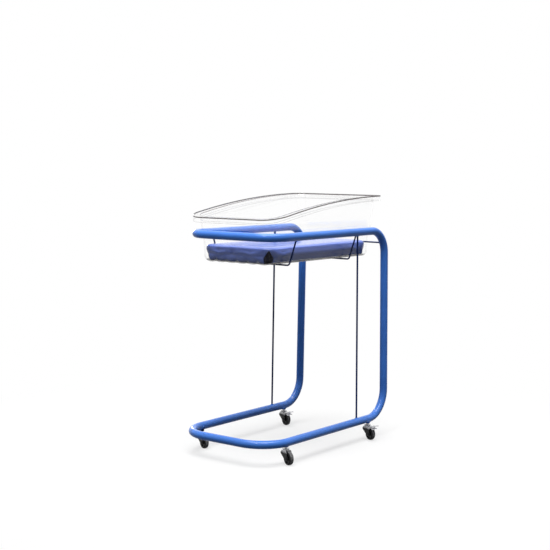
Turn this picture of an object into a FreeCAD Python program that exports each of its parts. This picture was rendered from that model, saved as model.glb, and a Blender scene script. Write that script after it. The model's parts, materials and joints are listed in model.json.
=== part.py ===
"""Hospital bassinet: a clear tub on a bent-tube trolley with four swivel casters.

Millimetres, +Z up. The floor is z = 0. The origin is on the floor, midway between
the side rails (x = 0). The foot end, where both tube loops close, faces -Y. The head
end, with the two uprights, faces +Y. Left is -X and right is +X.
"""
import FreeCAD, Part

import math
import os

from FreeCAD import Rotation, Vector

# ---- frame tube -------------------------------------------------------------
TUBE_DIAMETER = 30.0
TUBE_WALL = 1.5
TOP_HALF_WIDTH = 199.0         # side rail centreline of the top loop
TOP_HEIGHT = 812.0             # centreline of the top loop above the floor
TOP_FRONT_Y = -340.0           # centreline of the top loop's front run
UPRIGHT_Y = 370.0              # centreline of both uprights
BASE_SPREAD = 7.0              # base rails outside the top rails, each side
BASE_REACH = 34.0              # base loop's front run ahead of the top loop's
BASE_CORNER_RADIUS = 116.0
TOP_CORNER_RADIUS = 78.0
BASE_BEND_RADIUS = 104.0       # side rail up into the upright
TOP_BEND_RADIUS = 90.0         # upright forward into the top rail
STUB_LENGTH = 40.0             # straight end of a loop beyond its last bend
SLEEVE_LENGTH = 50.0           # inner sleeve across each butt weld
SLEEVE_WALL = 1.5
SLEEVE_CLEARANCE = 0.1

# ---- rods and wires ---------------------------------------------------------
ROD_DIAMETER = 7.0
ROD_INSET = 189.0              # rods between the rails, ahead of the uprights
WIRE_DIAMETER = 6.0
CRADLE_FRONT_INSET = 137.0     # front cradle wire behind the top loop's front run
CRADLE_ROD_STEP = 5.0          # rear cradle wire ahead of the rods
CRADLE_SPREAD = 2.0            # bottom corners of the cradle outside the basin
CRADLE_BEND_RADIUS = 12.0
BACKSTOP_RISE = 41.0           # cross wire above the start of the top rear bend

# ---- tub --------------------------------------------------------------------
TUB_WALL = 3.5
TUB_HANG = 101.0               # lowest line of the tub floor below the top loop's centreline
TUB_REAR_DEPTH = 238.5         # rim top at the head end above the floor's lowest line
RIM_DROP = 74.0                # rim top at the foot end below the head end
TUB_SEAT_GAP = 0.3             # between the cradle wires and the tub floor
TUB_SIDE_GAP = 8.5             # upper body to the top rails, just above the shoulder
TUB_FRONT_GAP = 4.5            # upper body to the top loop's front run
TUB_REAR_GAP = 24.0            # upper body to the uprights
BASIN_SIDE_STEP = 13.5         # basin floor inside the upper body
BASIN_FRONT_STEP = 5.5
BASIN_REAR_STEP = 8.0
BASIN_FRONT_CORNER = 44.0
BASIN_REAR_CORNER = 34.0
BASIN_DEPTH = 88.0             # floor to shoulder
BASIN_FLARE = 4.0              # growth all round up to the shoulder
FLOOR_EDGE_RADIUS = 24.0
SHOULDER_RISE = 9.0
BODY_FRONT_CORNER = 54.0
BODY_REAR_CORNER = 38.0
BODY_SIDE_LEAN = 16.5          # growth of the upper body from the shoulder up to the rim
BODY_FRONT_LEAN = 3.5
BODY_REAR_LEAN = 1.0
RIM_FRONT_CORNER = 76.0
RIM_REAR_CORNER = 48.0
FLANGE_WIDTH = 20.0
SKIRT_DEPTH = 21.0
RIM_ROLL_RADIUS = 9.0          # inside radius from wall to flange
RIM_EDGE_RADIUS = 2.0          # outer edge of the flange
SCALLOP_PITCH = 48.0           # lengthwise flutes pressed into the tub floor
SCALLOP_COUNT = 6
SCALLOP_DEPTH = 6.0

# ---- mattress ---------------------------------------------------------------
MATTRESS_SIDE_GAP = 1.5        # to the basin walls at the floor
MATTRESS_END_GAP = 2.5
MATTRESS_THICKNESS = 52.0
MATTRESS_CORNER_RADIUS = 34.0
MATTRESS_EDGE_RADIUS = 14.0
MATTRESS_GAP = 0.4             # above the floor flutes
COVER_THICKNESS = 1.0
FOAM_GAP = 0.4

# ---- casters ----------------------------------------------------------------
CASTER_SIDE_STEP = 7.0         # front stems inside the base rails' centrelines
CASTER_BEND_GAP = 6.0          # rear stems ahead of the start of the upright bends
CASTER_REST_TURN = -22.0       # all four trail towards +X, turned a little to -Y
WHEEL_DIAMETER = 50.0
WHEEL_WIDTH = 17.0
WHEEL_TRAIL = 20.0
TYRE_THICKNESS = 6.0
TYRE_SHOULDER = 2.0
HUB_DIAMETER = 16.0
WEB_WIDTH = 9.0
WHEEL_RIM_WALL = 2.0
WHEEL_RIM_INSET = 1.0          # rim edge inside the tyre's side
HUB_SIDE_GAP = 0.3             # hub end to fork leg
FORK_GAP = 20.0                # between the inner faces of the fork legs
FORK_SHEET = 2.0
FORK_TYRE_GAP = 1.5            # tyre top to the crown
FORK_EDGE_RADIUS = 3.0         # rounded outer edges of the hood
CROWN_FRONT = 9.0              # level part of the crown, from the stem axis
CROWN_REAR = 17.0
NOSE_REACH = 19.0              # stem axis to the hood's nose
NOSE_TOP_DROP = 9.5            # crown top to the top of the nose
NOSE_DEPTH = 6.5               # height of the nose
AXLE_EYE_RADIUS = 10.0
AXLE_DIAMETER = 6.0
AXLE_HEAD_DIAMETER = 11.0
AXLE_HEAD_HEIGHT = 3.0
AXLE_HEAD_ROUND = 1.8
AXLE_NUT_FLATS = 10.0
AXLE_NUT_HEIGHT = 4.0
AXLE_END = 1.0                 # bolt end beyond the nut
BALL_DIAMETER = 2.5
BALL_COUNT = 12
BALL_CIRCLE_DIAMETER = 16.0
BALL_GAP = 0.2
RACE_CAP_DIAMETER = 24.0
RACE_CAP_SHEET = 1.5
RACE_SKIRT_WALL = 2.0
RACE_SKIRT_GAP = 0.8
KINGPIN_DIAMETER = 8.0
KINGPIN_HEAD_DIAMETER = 14.0
KINGPIN_HEAD_HEIGHT = 2.0
STEM_DIAMETER = 10.0
STEM_LENGTH = 18.0
STEM_SHOWN = 4.8               # stem in view between the race cap and the boss
BOSS_DIAMETER = 17.0
BOSS_HEIGHT = 2.5              # below the underside of the base tube
BOSS_LAP = 5.0                 # boss beside the tube, above its underside
RUNNING_CLEARANCE = 0.05       # radial, shaft in bore
FACE_GAP = 0.1                 # between flat faces that turn past each other

# ---- brake pedals, on the two rear casters ----------------------------------
PEDAL_PIN_DIAMETER = 4.0
PEDAL_PIN_BACK = 10.0          # pin behind the wheel axis
PEDAL_PIN_RISE = 4.6           # pin centre above the tyre straight below it
PEDAL_EAR_WALL = 2.5           # metal around the pin hole
PEDAL_LIFT = 14.0              # degrees that the released pedal points upward
PEDAL_TRAVEL = 8.0             # degrees down to the pressed position
PEDAL_LENGTH = 32.0            # pin to toe
PEDAL_WIDTH = 26.0
PEDAL_NECK = 9.0               # narrow part between the fork legs
PEDAL_SHEET = 2.0
PEDAL_FLANGE = 3.5
PEDAL_TOE_RADIUS = 6.5
TAB_SPREAD = 16.0              # degrees from the pedal down to its lower tab
TAB_LENGTH = 23.0              # pin to the end of the lower tab
TAB_WIDTH = 22.0
TAB_TOE_RADIUS = 5.0
PEDAL_BARREL_RADIUS = 3.5
PEDAL_EAR_ROOT = 0.6           # share of the leg's rear edge that the ear covers
SHOE_START = 3.0               # from the pin along the pedal
SHOE_LENGTH = 5.0
SHOE_WIDTH = 13.0
SHOE_TYRE_GAP = 0.5            # left between shoe and tyre when pressed

# ---- sizes worked out from the ones above -----------------------------------
TUBE_RADIUS = TUBE_DIAMETER / 2
TUBE_BORE_RADIUS = TUBE_RADIUS - TUBE_WALL
WIRE_RADIUS = WIRE_DIAMETER / 2

# casters
WHEEL_RADIUS = WHEEL_DIAMETER / 2
HUB_HALF_LENGTH = FORK_GAP / 2 - HUB_SIDE_GAP
LEG_OUTSIDE = FORK_GAP / 2 + FORK_SHEET
CROWN_BOTTOM = WHEEL_DIAMETER + FORK_TYRE_GAP
CROWN_TOP = CROWN_BOTTOM + FORK_SHEET
NOSE_TOP = CROWN_TOP - NOSE_TOP_DROP
RACE_HEIGHT = CROWN_TOP + BALL_DIAMETER + BALL_GAP
STEM_BASE = RACE_HEIGHT + RACE_CAP_SHEET
PEDAL_EAR_RADIUS = PEDAL_PIN_DIAMETER / 2 + PEDAL_EAR_WALL

# base loop, uprights, rods and the casters' places
BASE_HALF_WIDTH = TOP_HALF_WIDTH + BASE_SPREAD
BOSS_BASE = STEM_BASE + STEM_SHOWN
BASE_HEIGHT = BOSS_BASE + BOSS_HEIGHT + TUBE_RADIUS
BASE_FRONT_Y = TOP_FRONT_Y - BASE_REACH
LEAN_START = BASE_HEIGHT + BASE_BEND_RADIUS
LEAN_END = TOP_HEIGHT - TOP_BEND_RADIUS
LOWER_JOINT = LEAN_START + STUB_LENGTH
UPPER_JOINT = LEAN_END - STUB_LENGTH
ROD_Y = UPRIGHT_Y - ROD_INSET
CASTER_FRONT_Y = BASE_FRONT_Y + BASE_CORNER_RADIUS
CASTER_REAR_Y = UPRIGHT_Y - BASE_BEND_RADIUS - CASTER_BEND_GAP

# tub, which fits inside the top loop and stands on the cradle wires
TUB_FLOOR = TOP_HEIGHT - TUB_HANG
SHOULDER_BOTTOM = TUB_FLOOR + BASIN_DEPTH
SHOULDER_TOP = SHOULDER_BOTTOM + SHOULDER_RISE
BODY_HALF_WIDTH = TOP_HALF_WIDTH - TUBE_RADIUS - TUB_SIDE_GAP
BODY_FRONT_Y = TOP_FRONT_Y + TUBE_RADIUS + TUB_FRONT_GAP
BODY_REAR_Y = UPRIGHT_Y - TUBE_RADIUS - TUB_REAR_GAP
BASIN_HALF_WIDTH = BODY_HALF_WIDTH - BASIN_SIDE_STEP
BASIN_FRONT_Y = BODY_FRONT_Y + BASIN_FRONT_STEP
BASIN_REAR_Y = BODY_REAR_Y - BASIN_REAR_STEP
RIM_HALF_WIDTH = BODY_HALF_WIDTH + BODY_SIDE_LEAN + FLANGE_WIDTH
RIM_FRONT_Y = BODY_FRONT_Y - BODY_FRONT_LEAN - FLANGE_WIDTH
RIM_REAR_Y = BODY_REAR_Y + BODY_REAR_LEAN + FLANGE_WIDTH
RIM_REAR_HEIGHT = TUB_FLOOR + TUB_REAR_DEPTH
RIM_FRONT_HEIGHT = RIM_REAR_HEIGHT - RIM_DROP
RIM_LENGTH = RIM_REAR_Y - RIM_FRONT_Y
RIM_SWEEP_RADIUS = (RIM_LENGTH ** 2 + RIM_DROP ** 2) / (2 * RIM_DROP)

# cradle wires and mattress
CRADLE_FRONT_Y = TOP_FRONT_Y + CRADLE_FRONT_INSET
CRADLE_REAR_Y = ROD_Y - CRADLE_ROD_STEP
CRADLE_HEIGHT = TUB_FLOOR - TUB_SEAT_GAP - WIRE_RADIUS
CRADLE_BOTTOM_HALF_WIDTH = BASIN_HALF_WIDTH + CRADLE_SPREAD
MATTRESS_WIDTH = 2 * (BASIN_HALF_WIDTH - TUB_WALL - MATTRESS_SIDE_GAP)
MATTRESS_LENGTH = BASIN_REAR_Y - BASIN_FRONT_Y - 2 * (TUB_WALL + MATTRESS_END_GAP)
MATTRESS_Y = (BASIN_FRONT_Y + BASIN_REAR_Y) / 2
MATTRESS_BOTTOM = TUB_FLOOR + SCALLOP_DEPTH + TUB_WALL + MATTRESS_GAP

X, Y, Z = Vector(1, 0, 0), Vector(0, 1, 0), Vector(0, 0, 1)
WHEEL_CENTRE = Vector(WHEEL_TRAIL, 0, WHEEL_RADIUS)
PEDAL_PIN = WHEEL_CENTRE + Vector(
    PEDAL_PIN_BACK, 0, math.sqrt(WHEEL_RADIUS ** 2 - PEDAL_PIN_BACK ** 2) + PEDAL_PIN_RISE)


# ---- helpers ----------------------------------------------------------------
def save(name, shape):
    """Write one node."""
    shape.exportStep(os.path.join("parts", name + ".step"))


def cylinder(radius, start, end):
    return Part.makeCylinder(radius, (end - start).Length, start, end - start)


def cross_bar(centre, radius, half_length):
    return cylinder(radius, centre - Y * half_length, centre + Y * half_length)


def box(x_range, y_range, z_range):
    low, high = zip(x_range, y_range, z_range)
    size = Vector(*high) - Vector(*low)
    return Part.makeBox(size.x, size.y, size.z, Vector(*low))


def post(radius, start, end):
    """A round bar with level ends whose centre runs from start to end."""
    rings = [Part.Wire(Part.makeCircle(radius, centre, Z)) for centre in (start, end)]
    return Part.makeLoft(rings, True, True)


def bent_bar(points, bends, radius):
    """A round bar through the points, with a bend radius at each inner point."""
    pieces = []
    start = points[0]
    for before, corner, after, bend in zip(points, points[1:], points[2:], bends):
        inward = (before - corner).normalize()
        outward = (after - corner).normalize()
        turn = math.pi - inward.getAngle(outward)
        setback = bend * math.tan(turn / 2)
        arc_start = corner + inward * setback
        centre = corner + (inward + outward).normalize() * (bend / math.cos(turn / 2))
        axis = outward.cross(inward)
        if (arc_start - start).Length > 0.001:
            pieces.append(cylinder(radius, start, arc_start))
        section = Part.Face(Part.Wire(Part.makeCircle(radius, arc_start, inward)))
        pieces.append(section.revolve(centre, axis, math.degrees(turn)))
        start = corner + outward * setback
    if (points[-1] - start).Length > 0.001:
        pieces.append(cylinder(radius, start, points[-1]))
    return pieces[0].multiFuse(pieces[1:])


def rounded_outline(half_width, front, rear, front_corner, rear_corner, height):
    """A level rectangle with rounded corners, as a closed wire."""
    diagonal = math.sqrt(0.5)
    arcs = []
    corners = [(1, 1, rear_corner), (-1, 1, rear_corner), (-1, -1, front_corner), (1, -1, front_corner)]
    for side, end, radius in corners:
        corner_y = rear if end > 0 else front
        centre = Vector(side * (half_width - radius), corner_y - end * radius, height)
        on_side = centre + X * (side * radius)
        on_end = centre + Y * (end * radius)
        middle = centre + Vector(side, end, 0) * (radius * diagonal)
        first, last = (on_side, on_end) if side == end else (on_end, on_side)
        arcs.append((first, middle, last))
    edges = []
    for arc, following in zip(arcs, arcs[1:] + arcs[:1]):
        edges.append(Part.Arc(*arc).toShape())
        edges.append(Part.LineSegment(arc[2], following[0]).toShape())
    return Part.Wire(edges)


def edges_at(shape, height):
    """The edges of a shape that lie level at one height."""
    return [edge for edge in shape.Edges
            if abs(edge.BoundBox.ZMin - height) < 0.01 and abs(edge.BoundBox.ZMax - height) < 0.01]


def spun(points, centre):
    """A solid turned about the line through centre along Y, from (y, radius) points."""
    corners = [centre + Vector(0, y, radius) for y, radius in points]
    face = Part.Face(Part.makePolygon(corners + corners[:1]))
    return face.revolve(centre, Y, 360)


def tangent_point(point, centre, radius, turn):
    """Where the line from point touches a circle in the XZ plane; turn picks the side."""
    away = point - centre
    angle = math.atan2(away.z, away.x) + turn * math.acos(radius / away.Length)
    return centre + Vector(math.cos(angle), 0, math.sin(angle)) * radius


# ---- frame ------------------------------------------------------------------
def upright_point(side, height):
    """Centreline of an upright, which leans inward between its two bends."""
    share = (height - LEAN_START) / (LEAN_END - LEAN_START)
    half_width = BASE_HALF_WIDTH + (TOP_HALF_WIDTH - BASE_HALF_WIDTH) * share
    return Vector(side * half_width, UPRIGHT_Y, height)


def loop_bar(height, bend_end, front, corner_radius, bend_radius, joint, radius):
    """A loop: front run, side runs, a bend at each upright and a straight stub."""
    right_end = upright_point(1, bend_end)
    left_end = upright_point(-1, bend_end)
    points = [right_end, Vector(right_end.x, UPRIGHT_Y, height), Vector(right_end.x, front, height),
              Vector(left_end.x, front, height), Vector(left_end.x, UPRIGHT_Y, height), left_end]
    bar = bent_bar(points, [bend_radius, corner_radius, corner_radius, bend_radius], radius)
    stubs = [post(radius, upright_point(side, bend_end), upright_point(side, joint))
             for side in (1, -1)]
    return bar.multiFuse(stubs)


def base_bar(radius):
    return loop_bar(BASE_HEIGHT, LEAN_START, BASE_FRONT_Y, BASE_CORNER_RADIUS,
                    BASE_BEND_RADIUS, LOWER_JOINT, radius)


def top_bar(radius):
    return loop_bar(TOP_HEIGHT, LEAN_END, TOP_FRONT_Y, TOP_CORNER_RADIUS,
                    TOP_BEND_RADIUS, UPPER_JOINT, radius)


def make_base_loop():
    tube = base_bar(TUBE_RADIUS).cut(base_bar(TUBE_BORE_RADIUS))
    drill = STEM_DIAMETER / 2 + RUNNING_CLEARANCE
    for x, y in caster_places().values():
        tube = tube.cut(cylinder(drill, Vector(x, y, STEM_BASE), Vector(x, y, BASE_HEIGHT)))
    return tube


def make_top_loop():
    return top_bar(TUBE_RADIUS).cut(top_bar(TUBE_BORE_RADIUS))


def make_upright(side):
    """A straight leaning tube, cut level at both butt welds."""
    low = upright_point(side, LOWER_JOINT)
    high = upright_point(side, UPPER_JOINT)
    beyond = (high - low).normalize() * TUBE_DIAMETER
    tube = cylinder(TUBE_RADIUS, low - beyond, high + beyond)
    tube = tube.cut(cylinder(TUBE_BORE_RADIUS, low - beyond, high + beyond))
    reach = BASE_HALF_WIDTH + TUBE_DIAMETER
    around = (UPRIGHT_Y - TUBE_DIAMETER, UPRIGHT_Y + TUBE_DIAMETER)
    return tube.common(box((-reach, reach), around, (LOWER_JOINT, UPPER_JOINT)))


def make_sleeve(side, joint):
    """An inner sleeve across one butt weld of an upright."""
    outside = TUBE_BORE_RADIUS - SLEEVE_CLEARANCE
    ends = [upright_point(side, joint + end * SLEEVE_LENGTH / 2) for end in (-1, 1)]
    return post(outside, *ends).cut(post(outside - SLEEVE_WALL, *ends))


def rail_bar(half_width, height, side):
    """The solid outside of one straight side rail, used to shape what is welded to it."""
    return cylinder(TUBE_RADIUS, Vector(side * half_width, TOP_FRONT_Y, height),
                    Vector(side * half_width, UPRIGHT_Y, height))


def make_rod(side):
    rod = post(ROD_DIAMETER / 2, Vector(side * BASE_HALF_WIDTH, ROD_Y, BASE_HEIGHT),
               Vector(side * TOP_HALF_WIDTH, ROD_Y, TOP_HEIGHT))
    rod = rod.cut(rail_bar(BASE_HALF_WIDTH, BASE_HEIGHT, side))
    return rod.cut(rail_bar(TOP_HALF_WIDTH, TOP_HEIGHT, side))


def make_cradle(y):
    """A wire hung from both top rails, sloping inward and running under the tub."""
    points = [Vector(TOP_HALF_WIDTH, y, TOP_HEIGHT), Vector(CRADLE_BOTTOM_HALF_WIDTH, y, CRADLE_HEIGHT),
              Vector(-CRADLE_BOTTOM_HALF_WIDTH, y, CRADLE_HEIGHT), Vector(-TOP_HALF_WIDTH, y, TOP_HEIGHT)]
    wire = bent_bar(points, [CRADLE_BEND_RADIUS, CRADLE_BEND_RADIUS], WIRE_RADIUS)
    for side in (1, -1):
        wire = wire.cut(rail_bar(TOP_HALF_WIDTH, TOP_HEIGHT, side))
    return wire


def make_backstop_wire():
    """A straight wire between the two top rear bends, behind the tub."""
    drop_back = TOP_BEND_RADIUS - math.sqrt(TOP_BEND_RADIUS ** 2 - BACKSTOP_RISE ** 2)
    end = Vector(TOP_HALF_WIDTH, UPRIGHT_Y - drop_back, LEAN_END + BACKSTOP_RISE)
    wire = cylinder(WIRE_RADIUS, end, Vector(-end.x, end.y, end.z))
    return wire.cut(top_bar(TUBE_RADIUS))


def make_boss(x, y, base_outside):
    """A threaded boss, shaped to the base loop that it is welded under."""
    low = Vector(x, y, BOSS_BASE)
    high = Vector(x, y, BOSS_BASE + BOSS_HEIGHT + BOSS_LAP)
    boss = cylinder(BOSS_DIAMETER / 2, low, high).cut(base_outside)
    return boss.cut(cylinder(STEM_DIAMETER / 2 + RUNNING_CLEARANCE, low, high))


# ---- tub --------------------------------------------------------------------
def body_outline(inset, height):
    """Outline of the upper body, whose walls lean outward to the rim."""
    share_rear = (height - SHOULDER_TOP) / (RIM_REAR_HEIGHT - SHOULDER_TOP)
    share_front = (height - SHOULDER_TOP) / (RIM_FRONT_HEIGHT - SHOULDER_TOP)
    half_width = BODY_HALF_WIDTH + (RIM_HALF_WIDTH - FLANGE_WIDTH - BODY_HALF_WIDTH) * share_rear
    front = BODY_FRONT_Y + (RIM_FRONT_Y + FLANGE_WIDTH - BODY_FRONT_Y) * share_front
    rear = BODY_REAR_Y + (RIM_REAR_Y - FLANGE_WIDTH - BODY_REAR_Y) * share_rear
    return rounded_outline(half_width - inset, front + inset, rear - inset,
                           BODY_FRONT_CORNER - inset, BODY_REAR_CORNER - inset, height)


def basin_outline(inset, flare, height):
    grow = flare - inset
    return rounded_outline(BASIN_HALF_WIDTH + grow, BASIN_FRONT_Y - grow, BASIN_REAR_Y + grow,
                           BASIN_FRONT_CORNER - inset, BASIN_REAR_CORNER - inset, height)


def flutes(lift):
    """What lies below the fluted floor: a row of arcs, bulging down, with cusps between."""
    low = TUB_FLOOR + lift
    cusp = low + SCALLOP_DEPTH
    bottom = low - 2 * SCALLOP_DEPTH
    left = -SCALLOP_PITCH * (SCALLOP_COUNT / 2 + 1)
    edges = []
    for i in range(SCALLOP_COUNT + 2):
        start = left + i * SCALLOP_PITCH
        end = start + SCALLOP_PITCH
        edges.append(Part.Arc(Vector(start, 0, cusp), Vector((start + end) / 2, 0, low),
                              Vector(end, 0, cusp)).toShape())
    edges += Part.makePolygon([Vector(-left, 0, cusp), Vector(-left, 0, bottom),
                               Vector(left, 0, bottom), Vector(left, 0, cusp)]).Edges
    face = Part.Face(Part.Wire(edges))
    face.translate(Y * RIM_FRONT_Y)
    return face.extrude(Y * RIM_LENGTH)


def tub_volume(inset):
    """The tub's outside when inset is 0, or its inside when inset is the wall."""
    floor = TUB_FLOOR + inset
    top = RIM_REAR_HEIGHT + SKIRT_DEPTH
    basin = Part.makeLoft([basin_outline(inset, 0, floor),
                           basin_outline(inset, BASIN_FLARE, SHOULDER_BOTTOM)], True, True)
    basin = basin.makeFillet(FLOOR_EDGE_RADIUS - inset, edges_at(basin, floor))
    shoulder = Part.makeLoft([basin_outline(inset, BASIN_FLARE, SHOULDER_BOTTOM),
                              body_outline(inset, SHOULDER_TOP)], True, True)
    body = Part.makeLoft([body_outline(inset, SHOULDER_TOP), body_outline(inset, top)], True, True)
    return basin.multiFuse([shoulder, body]).cut(flutes(inset))


def under_rim_sweep(depth):
    """Everything below the rim's long curve, lowered by depth."""
    low = Vector(-2 * RIM_HALF_WIDTH, RIM_REAR_Y, RIM_REAR_HEIGHT - RIM_SWEEP_RADIUS)
    return Part.makeCylinder(RIM_SWEEP_RADIUS - depth, 4 * RIM_HALF_WIDTH, low, X)


def rim_prism(inset):
    outline = rounded_outline(RIM_HALF_WIDTH - inset, RIM_FRONT_Y + inset, RIM_REAR_Y - inset,
                              RIM_FRONT_CORNER - inset, RIM_REAR_CORNER - inset,
                              RIM_FRONT_HEIGHT - 2 * SKIRT_DEPTH)
    return Part.Face(outline).extrude(Z * (RIM_DROP + 3 * SKIRT_DEPTH))


def rim_edges(shape, depth, beside_wall):
    """Edges on the rim's long curve lowered by depth, beside the wall or at the outside."""
    centre = Vector(0, RIM_REAR_Y, RIM_REAR_HEIGHT - RIM_SWEEP_RADIUS)
    middle = FLANGE_WIDTH / 2
    found = []
    for edge in shape.Edges:
        points = edge.discretize(5)
        misses = [abs((point - centre - X * point.x).Length - RIM_SWEEP_RADIUS + depth) for point in points]
        inside = [abs(point.x) < RIM_HALF_WIDTH - middle
                  and RIM_FRONT_Y + middle < point.y < RIM_REAR_Y - middle for point in points]
        if max(misses) < 0.05 and all(inside) == beside_wall:
            found.append(edge)
    return found


def make_tub():
    """One moulded shell: fluted floor, stepped walls, flange and turned-down skirt."""
    below_rim = under_rim_sweep(0)
    flange = rim_prism(0).common(below_rim).cut(under_rim_sweep(TUB_WALL))
    skirt = rim_prism(0).cut(rim_prism(TUB_WALL)).common(below_rim).cut(under_rim_sweep(SKIRT_DEPTH))
    walls = tub_volume(0).common(below_rim)
    tub = walls.multiFuse([flange, skirt]).cut(tub_volume(TUB_WALL)).removeSplitter()
    tub = tub.makeFillet(RIM_ROLL_RADIUS, rim_edges(tub, 0, True))
    tub = tub.makeFillet(RIM_ROLL_RADIUS - TUB_WALL, rim_edges(tub, TUB_WALL, True))
    return tub.makeFillet(RIM_EDGE_RADIUS, rim_edges(tub, 0, False))


# ---- mattress ---------------------------------------------------------------
def pad(inset):
    """A rounded pad, smaller all round by inset."""
    height = MATTRESS_BOTTOM + inset
    half_length = MATTRESS_LENGTH / 2 - inset
    corner = MATTRESS_CORNER_RADIUS - inset
    outline = rounded_outline(MATTRESS_WIDTH / 2 - inset, MATTRESS_Y - half_length,
                              MATTRESS_Y + half_length, corner, corner, height)
    block = Part.Face(outline).extrude(Z * (MATTRESS_THICKNESS - 2 * inset))
    rims = edges_at(block, height) + edges_at(block, MATTRESS_BOTTOM + MATTRESS_THICKNESS - inset)
    return block.makeFillet(MATTRESS_EDGE_RADIUS - inset, rims)


def make_mattress_cover():
    return pad(0).cut(pad(COVER_THICKNESS))


def make_mattress_foam():
    return pad(COVER_THICKNESS + FOAM_GAP)


# ---- casters, each built with its stem on the Z axis and its wheel towards +X ------
def make_stem():
    """Threaded stem, upper race cap and kingpin with its riveted head, in one piece."""
    head_top = CROWN_BOTTOM - FACE_GAP
    stem = cylinder(STEM_DIAMETER / 2, Z * STEM_BASE, Z * (STEM_BASE + STEM_LENGTH))
    cap_bottom = CROWN_TOP + RACE_SKIRT_GAP
    cap = cylinder(RACE_CAP_DIAMETER / 2, Z * cap_bottom, Z * STEM_BASE)
    hollow = cylinder(RACE_CAP_DIAMETER / 2 - RACE_SKIRT_WALL, Z * cap_bottom, Z * RACE_HEIGHT)
    kingpin = cylinder(KINGPIN_DIAMETER / 2, Z * head_top, Z * STEM_BASE)
    head = cylinder(KINGPIN_HEAD_DIAMETER / 2, Z * (head_top - KINGPIN_HEAD_HEIGHT), Z * head_top)
    return cap.cut(hollow).multiFuse([stem, kingpin, head]).removeSplitter()


def make_ball_ring():
    """The swivel balls, lying on the crown."""
    circle = Vector(BALL_CIRCLE_DIAMETER / 2, 0, CROWN_TOP + BALL_DIAMETER / 2)
    turns = [Rotation(Z, 360 * i / BALL_COUNT) for i in range(BALL_COUNT)]
    return Part.makeCompound([Part.makeSphere(BALL_DIAMETER / 2, turn * circle) for turn in turns])


def make_hood():
    """The fork's top: a level crown that slopes down in front to a nose, open at the rear."""
    half = LEG_OUTSIDE
    nose = Vector(-NOSE_REACH, -half, NOSE_TOP - NOSE_DEPTH)
    brow = Vector(-NOSE_REACH, -half, NOSE_TOP)
    crown = Vector(-CROWN_FRONT, -half, CROWN_TOP)
    rear = Vector(CROWN_REAR, -half, CROWN_TOP)
    back = Vector(CROWN_REAR, -half, CROWN_BOTTOM)
    block = Part.Face(Part.makePolygon([nose, brow, crown, rear, back, nose])).extrude(Y * (2 * half))
    shaped = [edge for edge in block.Edges if edge.BoundBox.ZMax > NOSE_TOP - 0.01
              and edge.BoundBox.XMin < CROWN_REAR - 0.01
              and (edge.BoundBox.XLength < CROWN_REAR or edge.BoundBox.ZLength < 0.01)]
    block = block.makeFillet(FORK_EDGE_RADIUS, shaped)
    slope = (crown.z - brow.z) / (crown.x - brow.x)
    drop = FORK_SHEET * math.sqrt(1 + slope ** 2)
    inner_front = brow.x + FORK_SHEET
    inner_brow = brow.z + FORK_SHEET * slope - drop
    inner_crown = crown.x - (FORK_SHEET - drop) / slope
    corners = [(inner_front, 0), (inner_front, inner_brow), (inner_crown, CROWN_BOTTOM),
               (2 * CROWN_REAR, CROWN_BOTTOM), (2 * CROWN_REAR, 0), (inner_front, 0)]
    outline = Part.makePolygon([Vector(x, -FORK_GAP / 2, z) for x, z in corners])
    return block.cut(Part.Face(outline).extrude(Y * FORK_GAP))


def leg_faces(braked):
    """Overlapping faces in the XZ plane that make one fork leg, its eye and, if braked, its ear."""
    nose = Vector(FORK_EDGE_RADIUS - NOSE_REACH, 0, NOSE_TOP - NOSE_DEPTH)
    brow = Vector(nose.x, 0, NOSE_TOP - FORK_EDGE_RADIUS)
    back = Vector(CROWN_REAR, 0, CROWN_BOTTOM)
    leg_back = tangent_point(back, WHEEL_CENTRE, AXLE_EYE_RADIUS, -1)
    leg_front = tangent_point(nose, WHEEL_CENTRE, AXLE_EYE_RADIUS, 1)
    faces = [Part.Face(Part.makePolygon([nose, brow, back, leg_back, leg_front, nose])),
             Part.Face(Part.Wire(Part.makeCircle(AXLE_EYE_RADIUS, WHEEL_CENTRE, Y)))]
    if braked:
        low = back + (leg_back - back) * PEDAL_EAR_ROOT
        ear = [back, tangent_point(back, PEDAL_PIN, PEDAL_EAR_RADIUS, -1),
               tangent_point(low, PEDAL_PIN, PEDAL_EAR_RADIUS, 1), low, back]
        faces.append(Part.Face(Part.makePolygon(ear)))
        faces.append(Part.Face(Part.Wire(Part.makeCircle(PEDAL_EAR_RADIUS, PEDAL_PIN, Y))))
    return faces


def make_fork(braked):
    """Pressed fork: hood and two legs with their holes."""
    plates = [face.extrude(Y * FORK_SHEET) for face in leg_faces(braked)]
    leg = plates[0].multiFuse(plates[1:])
    legs = []
    for y in (FORK_GAP / 2, -LEG_OUTSIDE):
        placed = leg.copy()
        placed.translate(Y * y)
        legs.append(placed)
    holes = [cylinder(KINGPIN_DIAMETER / 2 + RUNNING_CLEARANCE, Z * CROWN_BOTTOM, Z * CROWN_TOP),
             cross_bar(WHEEL_CENTRE, AXLE_DIAMETER / 2 + RUNNING_CLEARANCE, LEG_OUTSIDE)]
    if braked:
        holes.append(cross_bar(PEDAL_PIN, PEDAL_PIN_DIAMETER / 2 + RUNNING_CLEARANCE, LEG_OUTSIDE))
    return make_hood().multiFuse(legs).cut(holes).removeSplitter()


def make_axle_bolt():
    """Domed head on the -Y side, shank through both legs and the nut."""
    end = LEG_OUTSIDE + AXLE_NUT_HEIGHT + AXLE_END
    shank = cylinder(AXLE_DIAMETER / 2, WHEEL_CENTRE - Y * LEG_OUTSIDE, WHEEL_CENTRE + Y * end)
    outside = -LEG_OUTSIDE - AXLE_HEAD_HEIGHT
    head = cylinder(AXLE_HEAD_DIAMETER / 2, WHEEL_CENTRE + Y * outside, WHEEL_CENTRE - Y * LEG_OUTSIDE)
    outer_edge = [edge for edge in head.Edges if edge.BoundBox.YMax < outside + 0.01]
    return head.makeFillet(AXLE_HEAD_ROUND, outer_edge).fuse(shank)


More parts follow.
